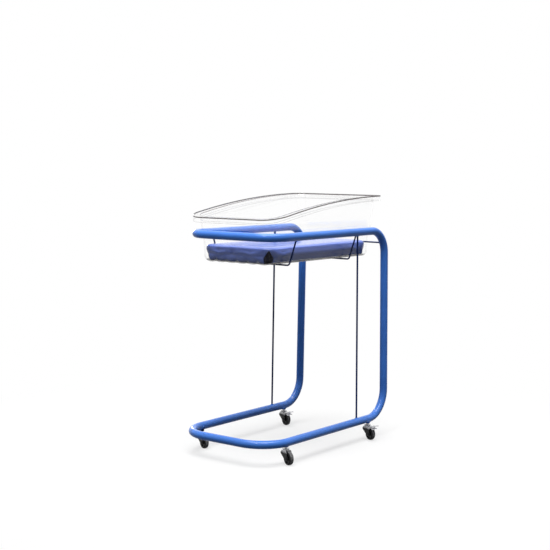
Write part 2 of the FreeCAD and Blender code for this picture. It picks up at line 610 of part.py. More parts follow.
def make_axle_nut():
    corner = AXLE_NUT_FLATS / math.sqrt(3)
    angles = [math.radians(60 * i) for i in range(7)]
    points = [WHEEL_CENTRE + Vector(corner * math.cos(a), LEG_OUTSIDE, corner * math.sin(a)) for a in angles]
    nut = Part.Face(Part.makePolygon(points)).extrude(Y * AXLE_NUT_HEIGHT)
    bore = cross_bar(WHEEL_CENTRE, AXLE_DIAMETER / 2 + RUNNING_CLEARANCE, LEG_OUTSIDE + AXLE_NUT_HEIGHT)
    return nut.cut(bore)


def make_wheel_core():
    """Hub, thin web and rim of the wheel."""
    bore = AXLE_DIAMETER / 2 + RUNNING_CLEARANCE
    hub = HUB_DIAMETER / 2
    web = WEB_WIDTH / 2
    rim_half = WHEEL_WIDTH / 2 - WHEEL_RIM_INSET
    rim_outside = WHEEL_RADIUS - TYRE_THICKNESS
    rim_inside = rim_outside - WHEEL_RIM_WALL
    half = [(HUB_HALF_LENGTH, bore), (HUB_HALF_LENGTH, hub), (web, hub), (web, rim_inside),
            (rim_half, rim_inside), (rim_half, rim_outside)]
    return spun(half + [(-y, radius) for y, radius in reversed(half)], WHEEL_CENTRE)


def make_tyre():
    half = WHEEL_WIDTH / 2
    ring = cross_bar(WHEEL_CENTRE, WHEEL_RADIUS, half)
    rims = [edge for edge in ring.Edges if edge.BoundBox.YLength < 0.01]
    ring = ring.makeFillet(TYRE_SHOULDER, rims)
    return ring.cut(cross_bar(WHEEL_CENTRE, WHEEL_RADIUS - TYRE_THICKNESS, half))


def make_pedal_pin():
    return cross_bar(PEDAL_PIN, PEDAL_PIN_DIAMETER / 2, LEG_OUTSIDE)


def toe_edges(shape, end):
    """The two upright edges at the free end of a plate."""
    return [edge for edge in shape.Edges if edge.BoundBox.XMin > end - 0.01 and edge.BoundBox.ZLength > 1]


def make_lower_tab():
    """The pedal's lower tab, which leaves the barrel's underside."""
    low = -PEDAL_BARREL_RADIUS
    root = box((0, PEDAL_NECK), (-HUB_HALF_LENGTH, HUB_HALF_LENGTH), (low, low + PEDAL_SHEET))
    tab = box((PEDAL_NECK, TAB_LENGTH), (-TAB_WIDTH / 2, TAB_WIDTH / 2), (low, low + PEDAL_SHEET))
    tab = root.fuse(tab.makeFillet(TAB_TOE_RADIUS, toe_edges(tab, TAB_LENGTH)))
    tab.rotate(Vector(0, 0, 0), Y, TAB_SPREAD)
    return tab


def make_brake_pedal():
    """Pressed pedal with its hinge barrel, lower tab and brake shoe, released at rest."""
    top = PEDAL_BARREL_RADIUS
    under = top - PEDAL_SHEET
    half = PEDAL_WIDTH / 2
    inside = PEDAL_LENGTH - PEDAL_SHEET
    barrel = cylinder(PEDAL_BARREL_RADIUS, Y * -HUB_HALF_LENGTH, Y * HUB_HALF_LENGTH)
    neck = box((0, PEDAL_NECK), (-HUB_HALF_LENGTH, HUB_HALF_LENGTH), (under, top))
    foot = box((PEDAL_NECK, PEDAL_LENGTH), (-half, half), (top - PEDAL_FLANGE, top))
    foot = foot.makeFillet(PEDAL_TOE_RADIUS, toe_edges(foot, PEDAL_LENGTH))
    hollow = box((PEDAL_NECK, inside), (PEDAL_SHEET - half, half - PEDAL_SHEET), (top - PEDAL_FLANGE, under))
    foot = foot.cut(hollow.makeFillet(PEDAL_TOE_RADIUS - PEDAL_SHEET, toe_edges(hollow, inside)))
    shoe_sides = (-SHOE_WIDTH / 2, SHOE_WIDTH / 2)
    shoe = box((SHOE_START, SHOE_START + SHOE_LENGTH), shoe_sides, (-WHEEL_RADIUS, under))
    pedal = barrel.multiFuse([neck, foot, shoe, make_lower_tab()])
    pedal = pedal.cut(cross_bar(Vector(0, 0, 0), PEDAL_PIN_DIAMETER / 2 + RUNNING_CLEARANCE, HUB_HALF_LENGTH))
    pedal.rotate(Vector(0, 0, 0), Y, PEDAL_TRAVEL - PEDAL_LIFT)
    pedal.translate(PEDAL_PIN)
    pedal = pedal.cut(cross_bar(WHEEL_CENTRE, WHEEL_RADIUS + SHOE_TYRE_GAP, WHEEL_WIDTH))
    pedal.rotate(PEDAL_PIN, Y, -PEDAL_TRAVEL)
    return pedal.removeSplitter()


def caster_places():
    """Stem axis of each caster on the floor plan."""
    return {"front_left": (CASTER_SIDE_STEP - BASE_HALF_WIDTH, CASTER_FRONT_Y),
            "front_right": (BASE_HALF_WIDTH - CASTER_SIDE_STEP, CASTER_FRONT_Y),
            "rear_left": (-BASE_HALF_WIDTH, CASTER_REAR_Y),
            "rear_right": (BASE_HALF_WIDTH, CASTER_REAR_Y)}


def save_caster(place, x, y, base_outside):
    """Write one caster's pieces, turned to their rest direction under the stem."""
    braked = place.startswith("rear")
    pieces = {"caster_stem": make_stem(), "caster_balls": make_ball_ring(), "caster_fork": make_fork(braked),
              "axle_bolt": make_axle_bolt(), "axle_nut": make_axle_nut(),
              "wheel_core": make_wheel_core(), "tyre": make_tyre()}
    if braked:
        pieces["pedal_pin"] = make_pedal_pin()
        pieces["brake_pedal"] = make_brake_pedal()
    for name, piece in pieces.items():
        piece.rotate(Vector(0, 0, 0), Z, CASTER_REST_TURN)
        piece.translate(Vector(x, y, 0))
        save(name + "_" + place, piece)
    save("caster_boss_" + place, make_boss(x, y, base_outside))


def main():
    os.makedirs("parts", exist_ok=True)
    save("base_loop", make_base_loop())
    save("top_loop", make_top_loop())
    for name, side in (("left", -1), ("right", 1)):
        save("upright_" + name, make_upright(side))
        save("lower_sleeve_" + name, make_sleeve(side, LOWER_JOINT))
        save("upper_sleeve_" + name, make_sleeve(side, UPPER_JOINT))
        save("rod_" + name, make_rod(side))
    save("cradle_wire_front", make_cradle(CRADLE_FRONT_Y))
    save("cradle_wire_rear", make_cradle(CRADLE_REAR_Y))
    save("backstop_wire", make_backstop_wire())
    save("tub", make_tub())
    save("mattress_cover", make_mattress_cover())
    save("mattress_foam", make_mattress_foam())
    base_outside = base_bar(TUBE_RADIUS)
    for place, (x, y) in caster_places().items():
        save_caster(place, x, y, base_outside)


main()
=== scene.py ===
"""Looks of a hospital bassinet: finishes, welds, tyres, the padded mattress, light and camera."""

import json
import math

import bmesh
import bpy
import numpy as np
from mathutils import Matrix, Vector


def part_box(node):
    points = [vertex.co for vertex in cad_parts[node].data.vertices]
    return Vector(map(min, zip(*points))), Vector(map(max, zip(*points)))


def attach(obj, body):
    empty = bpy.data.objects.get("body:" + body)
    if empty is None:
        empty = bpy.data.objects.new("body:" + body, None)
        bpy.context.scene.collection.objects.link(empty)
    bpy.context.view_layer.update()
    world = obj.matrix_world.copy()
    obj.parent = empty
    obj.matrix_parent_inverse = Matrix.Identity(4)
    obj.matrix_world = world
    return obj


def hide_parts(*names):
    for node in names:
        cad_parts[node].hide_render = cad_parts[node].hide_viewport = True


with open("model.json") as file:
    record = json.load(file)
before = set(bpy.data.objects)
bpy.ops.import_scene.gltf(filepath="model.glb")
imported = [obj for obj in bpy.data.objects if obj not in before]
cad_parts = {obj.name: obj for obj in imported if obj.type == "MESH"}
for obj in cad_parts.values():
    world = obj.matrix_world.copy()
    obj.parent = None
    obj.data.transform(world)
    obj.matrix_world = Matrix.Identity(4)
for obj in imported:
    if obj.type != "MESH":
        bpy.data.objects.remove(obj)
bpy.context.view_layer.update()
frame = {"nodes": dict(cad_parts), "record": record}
nodes = frame["nodes"]

# ---- camera ----------------------------------------------------------------------------
CAMERA_PLACE = Vector((2.78307, -3.67344, 1.08849))    # metres
CAMERA_AZIMUTH = math.radians(37.7)
CAMERA_ELEVATION = math.radians(5.462)
CAMERA_ROLL = math.radians(0.476)
CAMERA_LENS = 79.84            # mm, for the sensor width below
CAMERA_SENSOR = 36.0

# ---- trolley, in metres ----------------------------------------------------------------
MM = 0.001
TUBE_RADIUS = 15 * MM
ROD_RADIUS = 3.5 * MM
WIRE_RADIUS = 3 * MM
BOSS_RADIUS = 8.5 * MM
BEND_RADIUS = 90 * MM          # upright into top rail
CRADLE_HALF_WIDTH = 164 * MM   # lower bends of the cradle wires
DARKER_BELOW = 51 * MM            # the casters' darkening fades out at this height
DARKER_BELOW_FADE = 10 * MM

BEAD_RADIUS = 1.5 * MM         # weld bead
BEAD_STAND = 0.4               # its middle stands off the bar by this share of its radius
BEAD_SEGMENTS = 8
BEAD_LEAST_STEPS = 24
BEAD_STEPS_PER_MM = 6          # steps round the bar for each mm of the bar's radius
BEAD_POOL_STEPS = 3            # steps from one pool of the weld to the next
BEAD_RIPPLE = 0.18             # share by which each pool swells
BEAD_UNEVEN = 0.12             # share by which the whole bead is uneven

# ---- tyres, in metres ------------------------------------------------------------------
AXLE_TURN = math.radians(22)   # how far the axles at rest are turned from the y axis
AXLE = Vector((math.sin(AXLE_TURN), math.cos(AXLE_TURN), 0))
WHEEL_RADIUS = 25 * MM
TYRE_HALF_WIDTH = 8.5 * MM
TYRE_BORE_RADIUS = 19 * MM
TYRE_SIDE_REACH = 0.79         # the flat sides end at this share of the wheel's radius
# shoulder and crown: share of the half width, and mm below the middle of the tread
TYRE_CROWN = ((0.96, 3.6), (0.82, 1.8), (0.55, 0.6), (0.2, 0.05))
TYRE_STEPS = 96
TYRE_SHARP_ANGLE = math.radians(40)

# ---- tub, in metres --------------------------------------------------------------------
BASIN_HALF_WIDTH = 158.5 * MM  # inside of the basin at its floor
BASIN_ENDS = (-311.5 * MM, 319.5 * MM)
BASIN_CORNER = 40.5 * MM       # at the foot end
BASIN_HEAD_CORNER = 30.5 * MM
BASIN_FLARE = 4 / 88           # the walls lean out by this share of their height
BASIN_FLOOR = 714.5 * MM       # lowest lines of the floor flutes
BASIN_CURVE = 20.5 * MM        # floor up into the wall
FLUTE_PITCH = 48 * MM
FLUTE_DEPTH = 6 * MM
RIM_TOP = 949.5 * MM
RIM_SWEEP_RADIUS = 3310.1 * MM    # the rim's long rise to the head end
RIM_SWEEP_CENTRE = (0, 352 * MM, RIM_TOP - RIM_SWEEP_RADIUS)
RIM_EDGE_DEPTH = 5 * MM        # the rim's outer edge, from its top
SKIRT_DEPTH = 21 * MM          # the skirt's lower edge, from the rim's top
SKIRT_FADE_UP = 3 * MM
SKIRT_FADE_DOWN = 2 * MM
EDGES_DARKEN = (745 * MM, 725 * MM)   # the wall's outline is stronger below these heights
FOOT_SHOWS = (723 * MM, 716 * MM)     # the thick foot of the wall shows below these
MILKY_ABOVE = (800 * MM, 830 * MM)    # the wall turns a little milky above these

# ---- mattress, in metres ---------------------------------------------------------------
MATTRESS_CORNER = 34 * MM
MATTRESS_EDGE = 4 * MM
PAD_VOXEL = 4 * MM
PAD_SHRINK = 3 * MM            # the pad starts this much smaller and swells to its size
PAD_SWELL = 3 * MM             # the furthest that a point of it may move
PAD_FRAMES = 20
PAD_PRESSURE = 3.0
PAD_STIFFNESS = 12.0
PAD_BENDING = 0.6
PAD_QUALITY = 5
PAD_EASE = 4                   # rounds of smoothing after it swells
PAD_RISE = 2 * MM              # crown of the pad above its flat height
PAD_GAP = 0.5 * MM             # between the pad and the tub
SIDE_CROWN = 2 * MM            # the sides pull in this much at their top and foot
SAG_HEIGHT = 14 * MM           # the sag into the flutes fades out this far up

# how far down the pad something is runs from 0 at its top to 1 at its foot
TUCK_ANGLE = math.radians(42)  # half angle of a corner tuck where it is open
TUCK_TOP = 0.18                # how far down a tuck begins
TUCK_OPENING = 0.5             # how much further down it is open
TUCK_DEPTH = 10 * MM
TUCK_STEEPNESS = 2.2           # of its sides
TUCK_FADE = 3                  # it is fully deep from one part in this many down
FOLD_SHADE_STEEPNESS = 4             # of the edge of the painted shade inside it
GATHER_START = 0.6             # the ends begin this far round the corner's radius
GATHER_COUNT = 2.2
GATHER_DEPTH = 2.5 * MM
GATHER_FADE = (3, 0.8)         # the gathers grow as how far down times the first, less the second
GATHER_WANDER = ((0.15, 21, 0), (0.10, 47, 1))    # size, rate in radians per metre, start
TOP_SWING = 0.4 * MM           # slow unevenness of the top
SMALLEST = 1e-6                # keeps a divisor off zero


# ---- shader building -------------------------------------------------------------------
class Value:
    """A shader output that adds Math nodes when it is used in arithmetic."""

    def __init__(self, tree, socket):
        self.tree = tree
        self.socket = socket

    def math(self, operation, *values):
        return self.tree.node("Math", dict(enumerate(values)), operation=operation)

    def __add__(self, other):
        return self.math("ADD", self, other)

    def __sub__(self, other):
        return self.math("SUBTRACT", self, other)

    def __rsub__(self, other):
        return self.math("SUBTRACT", other, self)

    def __mul__(self, other):
        return self.math("MULTIPLY", self, other)

    def __pow__(self, other):
        return self.math("POWER", self, other)

    __radd__ = __add__
    __rmul__ = __mul__

    def size(self):
        """The value without its sign."""
        return self.math("ABSOLUTE", self)

    def clamped(self):
        """The value held between 0 and 1."""
        return self.tree.node("Clamp", {"Value": self})

    def ramp(self, low, high):
        """0 at low and 1 at high, smooth between."""
        return self.tree.node("MapRange", {"Value": self, "From Min": low, "From Max": high},
                              interpolation_type="SMOOTHSTEP")


class NodeTree:
    """The node tree of a material or world."""

    def __init__(self, owner):
        owner.use_nodes = True
        self.owner = owner
        self.tree = owner.node_tree
        self.tree.nodes.clear()

    def node(self, kind, inputs=None, output=0, **settings):
        """Add one node: its settings first, then the values or links of its sockets."""
        node = self.tree.nodes.new("ShaderNode" + kind)
        for name, value in settings.items():
            setattr(node, name, value)
        for name, value in (inputs or {}).items():
            if isinstance(value, Value):
                self.tree.links.new(value.socket, node.inputs[name])
            else:
                node.inputs[name].default_value = value
        return Value(self, node.outputs[output] if node.outputs else None)

    def seen(self):
        """1 where it is looked at, straight, in gloss or through glass, and 0 where it only lights."""
        direct, gloss, through = (self.node("LightPath", output=name) for name in
                                  ("Is Camera Ray", "Is Glossy Ray", "Is Transmission Ray"))
        return (direct + gloss + through).clamped()


class Finish(NodeTree):
    """A material, with the patterns and shaders that the finishes are made of."""

    def __init__(self, name):
        super().__init__(bpy.data.materials.new(name))
        self.place = self.node("TexCoord", output="Object")

    def noise(self, scale, detail=2.0, roughness=0.5, stretch=(1, 1, 1)):
        """Noise from 0 to 1; scale is in waves per metre."""
        place = self.node("Mapping", {"Vector": self.place, "Scale": stretch})
        return self.node("TexNoise", {"Vector": place, "Scale": scale, "Detail": detail,
                                      "Roughness": roughness})

    def toward(self, direction):
        """1 where the surface faces along a direction, -1 where it faces against it."""
        normal = self.node("TexCoord", output="Normal")
        return self.node("VectorMath", {0: normal, 1: direction}, output="Value", operation="DOT_PRODUCT")

    def height(self):
        """Metres above the floor."""
        return self.node("SeparateXYZ", {0: self.place}, output="Z")

    def mix(self, factor, first, second):
        """From the first colour at 0 to the second at 1."""
        return self.node("Mix", {0: factor, 6: first, 7: second}, output=2, data_type="RGBA")

    def bump(self, height, strength, distance):
        return self.node("Bump", {"Height": height, "Strength": strength, "Distance": distance})

    def surface(self, **values):
        """Finish with one Principled shader; names use _ for a space."""
        inputs = {name.replace("_", " "): value for name, value in values.items()}
        return self.output(self.node("BsdfPrincipled", inputs))

    def output(self, shader):
        """Join a shader to the output, and give the finished material."""
        self.node("OutputMaterial", {"Surface": shader})
        return self.owner


def rgb(red, green, blue):
    return (red, green, blue, 1.0)


def dimmed(colour, share):
    return tuple(part * share for part in colour[:3]) + (1.0,)


# ---- finishes --------------------------------------------------------------------------
UP = (0, 0, 1)
WHITE = rgb(1, 1, 1)
# near black: the casters' dark low parts and painted side shade, and the tyres' black sides
NEAR_BLACK = rgb(0.010, 0.010, 0.011)
PALE_DUST = rgb(0.10, 0.10, 0.10)
TREAD = rgb(0.115, 0.115, 0.12)
TREAD_DUST = rgb(0.27, 0.27, 0.275)
PLASTIC_EDGE = rgb(0.09, 0.065, 0.065)
MILKY = rgb(0.95, 0.95, 0.95)
VINYL = rgb(0.137, 0.207, 0.59)
VINYL_LIGHT = rgb(0.16, 0.235, 0.65)
# painted shade inside the corner tucks
VINYL_FOLD_SHADE = rgb(0.006, 0.006, 0.015)


def powder_coat(name, colour, deep, roughness):
    """Gloss powder coat: a faint orange peel, a little unevenness and fine handling marks."""
    f = Finish(name)
    cloud = f.noise(9.0, detail=3.0)
    peel = f.noise(700.0, detail=1.0)
    marks = f.noise(60.0, detail=4.0, roughness=0.7, stretch=(1, 0.25, 1))
    scuffed = marks.ramp(0.62, 0.78)
    # painted highlight and shade: the coat is heavier on upward faces, so tops shine and undersides stay
    # dark
    painted_top_gloss = f.toward(UP).ramp(0.0, 0.7)
    return f.surface(Base_Color=f.mix(cloud.ramp(0.3, 0.7), colour, deep),
                     Roughness=roughness + scuffed * 0.10 + cloud * 0.04, Specular_IOR_Level=0.10,
                     Coat_Weight=0.06 + painted_top_gloss * 0.6, Coat_Roughness=0.1,
                     Normal=f.bump(peel, strength=0.025, distance=0.0004))


def satin_paint(name, colour, deep):
    """Satin paint on thin wire, a little chalky."""
    f = Finish(name)
    cloud = f.noise(14.0, detail=3.0)
    return f.surface(Base_Color=f.mix(cloud.ramp(0.3, 0.7), colour, deep),
                     Roughness=0.42 + cloud * 0.1, Specular_IOR_Level=0.03)


def zinc_plate(name, colour, roughness, darkening=0.0):
    """Bright zinc: fine spangle, rolling lines and duller patches; with darkening, it is darker low down
    and painted shade darkens its side faces.
    """
    f = Finish(name)
    spangle = f.noise(260.0, detail=3.0)
    lines = f.noise(900.0, detail=1.0, stretch=(1, 1, 0.06))
    patch = f.noise(45.0).ramp(0.45, 0.7)
    low = (f.height() + spangle * 6 * MM).ramp(DARKER_BELOW, DARKER_BELOW - DARKER_BELOW_FADE)
    # painted shade: faces turned to the side are darkened
    faces_up_or_down = f.toward(UP).size().ramp(0.3, 0.7)
    # darker low down, plus painted shade on the side faces; no metal where it is dark
    dark_low_and_side_shade = (low + (1.0 - faces_up_or_down) * 0.35).clamped() * darkening
    metal = f.mix(patch, colour, dimmed(colour, 0.6))
    return f.surface(Base_Color=f.mix(dark_low_and_side_shade, metal, NEAR_BLACK), Metallic=1.0 - dark_low_and_side_shade, Specular_IOR_Level=0.1,
                     Roughness=roughness + spangle * 0.12 + patch * 0.12,
                     Normal=f.bump(lines + spangle * 0.5, strength=0.10, distance=0.0003))


def moulded_plastic(name, colour, roughness):
    """Satin moulded plastic with a fine grain and a little dust."""
    f = Finish(name)
    grain = f.noise(1400.0)
    dust = f.noise(120.0, detail=4.0).ramp(0.5, 0.8)
    return f.surface(Base_Color=f.mix(dust * 0.2, colour, PALE_DUST), Roughness=roughness + dust * 0.12,
                     Specular_IOR_Level=0.15, Normal=f.bump(grain, strength=0.12, distance=0.0002))


def tyre_rubber(name):
    """Black rubber with a dusty grey tread."""
    f = Finish(name)
    dust = f.noise(200.0, detail=4.0).ramp(0.35, 0.75)
    grain = f.noise(1500.0)
    sides = f.toward(AXLE).size().ramp(0.3, 0.7)
    return f.surface(Base_Color=f.mix(sides, f.mix(dust, TREAD, TREAD_DUST), NEAR_BLACK),
                     Roughness=0.55 + dust * 0.2, Specular_IOR_Level=0.1,
                     Normal=f.bump(grain, strength=0.2, distance=0.0003))


def rim_lines(f):
    """Where the rim is thick to look through: its outer edge and, fainter, the skirt's lower edge."""
    arm = f.node("VectorMath", {0: f.place, 1: RIM_SWEEP_CENTRE}, operation="SUBTRACT")
    radial = f.node("VectorMath", {0: arm, 1: (0, 1, 1)}, operation="MULTIPLY")
    depth = RIM_SWEEP_RADIUS - f.node("VectorMath", {0: radial}, output="Value", operation="LENGTH")
    upright = 1.0 - f.toward(UP).size()
    edge = depth.ramp(RIM_EDGE_DEPTH, RIM_EDGE_DEPTH * 0.8) * upright.ramp(0.1, 0.5)
    above = depth.ramp(SKIRT_DEPTH - SKIRT_FADE_UP, SKIRT_DEPTH)
    below = depth.ramp(SKIRT_DEPTH + SKIRT_FADE_DOWN, SKIRT_DEPTH)
    return edge * 0.85 + above * below * 0.12


def clear_plastic(name):
    """Clear moulded wall: almost unseen face on, grey towards its edges, a little milky higher up.

    The milky part is a faint pale mirror, so it lightens what is dark behind it and leaves white white.
    """
    f = Finish(name)
    facing = f.node("LayerWeight", {"Blend": 0.5}, output="Facing")
    haze = f.noise(14.0, detail=3.0)
    scratches = f.noise(300.0, detail=3.0, roughness=0.6, stretch=(0.15, 1, 1)).ramp(0.66, 0.8)
    outline = (facing ** 7.0) * (0.30 + f.height().ramp(*EDGES_DARKEN) * 0.35)
    edges = outline + f.height().ramp(*FOOT_SHOWS) * 0.3 + rim_lines(f)
    milky = f.height().ramp(*MILKY_ABOVE) * (1.0 - edges * 8.0).clamped()
    alpha = 0.006 + haze * 0.008 + scratches * 0.01 + milky * 0.05 + edges
    return f.surface(Base_Color=f.mix(milky, PLASTIC_EDGE, MILKY), Metallic=milky,
                     Roughness=0.06 + scratches * 0.15, Specular_IOR_Level=0.15, Alpha=alpha.clamped())


def vinyl(name):
    """Soft vinyl: navy violet, with painted shade inside its folds, a leathery grain and a broad sheen.
    """
    f = Finish(name)
    cloud = f.noise(12.0, detail=3.0)
    grain = f.node("TexVoronoi", {"Vector": f.place, "Scale": 900.0}, output="Distance")
    crease = f.noise(55.0, detail=3.0, roughness=0.6, stretch=(1, 0.3, 1))
    # painted shade in the corner tucks: darker colour and less coat where a point lies deep in a tuck
    painted_fold_shade = f.node("Attribute", output="Fac", attribute_name="fold_shade").ramp(0.1, 0.7)
    return f.surface(Base_Color=f.mix(painted_fold_shade * 0.97, f.mix(cloud, VINYL, VINYL_LIGHT), VINYL_FOLD_SHADE),
                     Roughness=0.15 + cloud * 0.05, Specular_IOR_Level=0.15,
                     Coat_Weight=0.3 - painted_fold_shade * 0.3, Coat_Roughness=0.12,
                     Normal=f.bump(grain * 0.3 + crease, strength=0.04, distance=0.0004))


FINISHES = {
    "frame_paint": powder_coat("frame_paint", rgb(0.060, 0.222, 0.77), rgb(0.054, 0.202, 0.70), 0.34),
    "wire_paint": satin_paint("wire_paint", rgb(0.015, 0.036, 0.15), rgb(0.013, 0.031, 0.13)),
    "sleeve_steel": zinc_plate("sleeve_steel", rgb(0.40, 0.40, 0.41), 0.45),
    "clear_tub": clear_plastic("clear_tub"),
    "mattress_vinyl": vinyl("mattress_vinyl"),
    "mattress_foam": moulded_plastic("mattress_foam", rgb(0.80, 0.76, 0.60), 0.9),
    "zinc_plate": zinc_plate("zinc_plate", rgb(0.62, 0.62, 0.64), 0.2, darkening=0.97),
    "ball_steel": zinc_plate("ball_steel", rgb(0.66, 0.66, 0.68), 0.12),
    "pedal_steel": zinc_plate("pedal_steel", rgb(0.56, 0.56, 0.58), 0.2),
    "wheel_plastic": moulded_plastic("wheel_plastic", rgb(0.006, 0.006, 0.007), 0.38),
    "tyre_rubber": tyre_rubber("tyre_rubber"),
}


# ---- pieces ----------------------------------------------------------------------------
def dress(piece, slot):
    """Give a piece one finish on every slot."""
    piece.data.materials.clear()
    piece.data.materials.append(FINISHES[slot])


def dress_nodes():
    """Give each CAD node the finish of its slot."""
    for part in frame["record"]["subparts"]:
        dress(nodes[part["node"]], part["material_slot"])


def set_down(name, mesh):
    """Turn a finished bmesh into an object in the scene."""
    data = bpy.data.meshes.new(name)
    mesh.to_mesh(data)
    mesh.free()
    piece = bpy.data.objects.new(name, data)
    bpy.context.scene.collection.objects.link(piece)
    return piece


def add_piece(name, mesh, slot, body):
    """Turn a finished bmesh into a piece that rides on a body."""
    piece = set_down(name, mesh)
    piece.data.shade_smooth()
    dress(piece, slot)
    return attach(piece, body)


# ---- welds -----------------------------------------------------------------------------
def landing(foot, rail_axis, bar_axis):
    """How far along the bar from foot it meets the tube, whose axis runs through the origin."""
    level_foot = foot - rail_axis * foot.dot(rail_axis)
    level_bar = bar_axis - rail_axis * bar_axis.dot(rail_axis)
    half = level_foot.dot(level_bar) / level_bar.length_squared
    rest = (level_foot.length_squared - TUBE_RADIUS ** 2) / level_bar.length_squared
    return math.sqrt(max(half * half - rest, 0)) - half


def bead(mesh, centre, rail_axis, bar_axis, bar_radius, offset=Vector()):
    """Add a rippled ring of weld where a bar through centre meets a tube; the tube's axis is offset."""
    rail_axis = rail_axis.normalized()
    bar_axis = bar_axis.normalized()
    side = bar_axis.orthogonal().normalized()
    across = bar_axis.cross(side)
    steps = max(BEAD_LEAST_STEPS, int(bar_radius / MM * BEAD_STEPS_PER_MM))
    ring = bmesh.new()
    stand = Matrix.Translation((bar_radius + BEAD_RADIUS * BEAD_STAND, 0, 0))
    bmesh.ops.create_circle(ring, segments=BEAD_SEGMENTS, radius=BEAD_RADIUS,
                            matrix=stand @ Matrix.Rotation(math.pi / 2, 4, "X"))
    bmesh.ops.spin(ring, geom=ring.edges[:], cent=(0, 0, 0), axis=(0, 0, 1), angle=2 * math.pi,
                   steps=steps, use_merge=True)
    for vert in ring.verts:
        turn = math.atan2(vert.co.y, vert.co.x)
        pools = BEAD_RIPPLE * math.sin(turn * (steps // BEAD_POOL_STEPS))
        ripple = 1 + pools + BEAD_UNEVEN * math.sin(turn * 3 + bar_radius / MM)
        spread = (math.hypot(vert.co.x, vert.co.y) - bar_radius) * ripple
        outward = side * math.cos(turn) + across * math.sin(turn)
        foot = outward * bar_radius
        reach = landing(foot - offset, rail_axis, bar_axis)
        vert.co = centre + foot + outward * spread + bar_axis * (reach + vert.co.z * ripple)
    data = bpy.data.meshes.new("bead")
    ring.to_mesh(data)
    ring.free()
    mesh.from_mesh(data)
    bpy.data.meshes.remove(data)


def make_welds():
    """Beads at the ends of the rods and wires, and round the caster bosses."""
    mesh = bmesh.new()
    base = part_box("base_loop")
    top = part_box("top_loop")
    base_height = base[0].z + TUBE_RADIUS
    top_height = top[1].z - TUBE_RADIUS
    along = Vector((0, 1, 0))
    for side, name in ((-1, "left"), (1, "right")):
        low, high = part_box("rod_" + name)
        outer, inner = (high.x, low.x) if side > 0 else (low.x, high.x)
        foot = Vector((outer - side * ROD_RADIUS, (low.y + high.y) / 2, base_height))
        head = Vector((inner + side * ROD_RADIUS, foot.y, top_height))
        bead(mesh, foot, along, head - foot, ROD_RADIUS)
        bead(mesh, head, along, foot - head, ROD_RADIUS)
        for wire in ("cradle_wire_front", "cradle_wire_rear"):
            low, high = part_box(wire)
            hook = Vector((head.x, (low.y + high.y) / 2, top_height))
            bend = Vector((side * CRADLE_HALF_WIDTH, hook.y, low.z + WIRE_RADIUS))
            bead(mesh, hook, along, bend - hook, WIRE_RADIUS)
        low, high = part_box("backstop_wire")
        end = Vector((head.x, (low.y + high.y) / 2, (low.z + high.z) / 2))
        rise = BEND_RADIUS - (top_height - end.z)
        tangent = Vector((0, rise, -math.sqrt(max(BEND_RADIUS ** 2 - rise ** 2, 0))))
        bead(mesh, end, tangent, Vector((-side, 0, 0)), WIRE_RADIUS)
        for end_name in ("front_", "rear_"):
            low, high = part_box("caster_boss_" + end_name + name)
            middle = Vector(((low.x + high.x) / 2, (low.y + high.y) / 2, base_height))
            rail = Vector((side * (base[1].x - TUBE_RADIUS) - middle.x, 0, 0))
            bead(mesh, middle, along, Vector((0, 0, -1)), BOSS_RADIUS, rail)
    bmesh.ops.recalc_face_normals(mesh, faces=mesh.faces)
    add_piece("weld_beads", mesh, "frame_paint", "frame")


# ---- tyres -----------------------------------------------------------------------------
def make_tyre(place):
    """A tyre with a crowned tread and round shoulders, spun about its wheel's axle."""
    low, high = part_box("tyre_" + place)
    centre = (low + high) / 2
    up = Vector((0, 0, WHEEL_RADIUS))
    half = [(share * TYRE_HALF_WIDTH, 1 - drop * MM / WHEEL_RADIUS) for share, drop in TYRE_CROWN]
    side = [(TYRE_HALF_WIDTH, TYRE_BORE_RADIUS / WHEEL_RADIUS), (TYRE_HALF_WIDTH, TYRE_SIDE_REACH)] + half
    section = side + [(-along, height) for along, height in reversed(side)]
    mesh = bmesh.new()
    verts = [mesh.verts.new(centre + AXLE * along + up * height) for along, height in section]
    edges = [mesh.edges.new((first, second)) for first, second in zip(verts, verts[1:] + verts[:1])]
    bmesh.ops.spin(mesh, geom=edges, cent=centre, axis=AXLE, angle=2 * math.pi,
                   steps=TYRE_STEPS, use_merge=True)
    bmesh.ops.recalc_face_normals(mesh, faces=mesh.faces)
    piece = add_piece("crowned_tyre_" + place, mesh, "tyre_rubber", "wheel_" + place)
    piece.data.set_sharp_from_angle(angle=TYRE_SHARP_ANGLE)
    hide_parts("tyre_" + place)


# ---- mattress --------------------------------------------------------------------------
def coordinates(data):
    """The places of a mesh's points, one row each."""
    flat = np.empty(len(data.vertices) * 3)
    data.vertices.foreach_get("co", flat)
    return flat.reshape(-1, 3)


def set_coordinates(data, places):
    data.vertices.foreach_set("co", places.ravel())
    data.update()


def applied(piece):
    """Replace a piece's mesh with what its modifiers make of it now."""
    shown = piece.evaluated_get(bpy.context.evaluated_depsgraph_get())
    data = bpy.data.meshes.new_from_object(shown)
    piece.modifiers.clear()
    piece.data = data


def pad_block(low, high):
    """The pad before it swells: a block with rounded upright corners and soft edges."""
    mesh = bmesh.new()
    bmesh.ops.create_cube(mesh, size=1.0)
    size = high - low
    bmesh.ops.scale(mesh, vec=size, verts=mesh.verts)
    bmesh.ops.translate(mesh, vec=(low + high) / 2, verts=mesh.verts)
    upright = [edge for edge in mesh.edges
               if abs(edge.verts[0].co.z - edge.verts[1].co.z) > size.z / 2]
    bmesh.ops.bevel(mesh, geom=upright, offset=MATTRESS_CORNER, segments=8, profile=0.5,
                    affect="EDGES", material=-1)
    faces_up_or_down = [edge for edge in mesh.edges
             if edge.is_manifold and len({round(face.normal.z) for face in edge.link_faces}) > 1]
    bmesh.ops.bevel(mesh, geom=faces_up_or_down, offset=MATTRESS_EDGE, segments=3, profile=0.5,
                    affect="EDGES", material=-1)
    return mesh


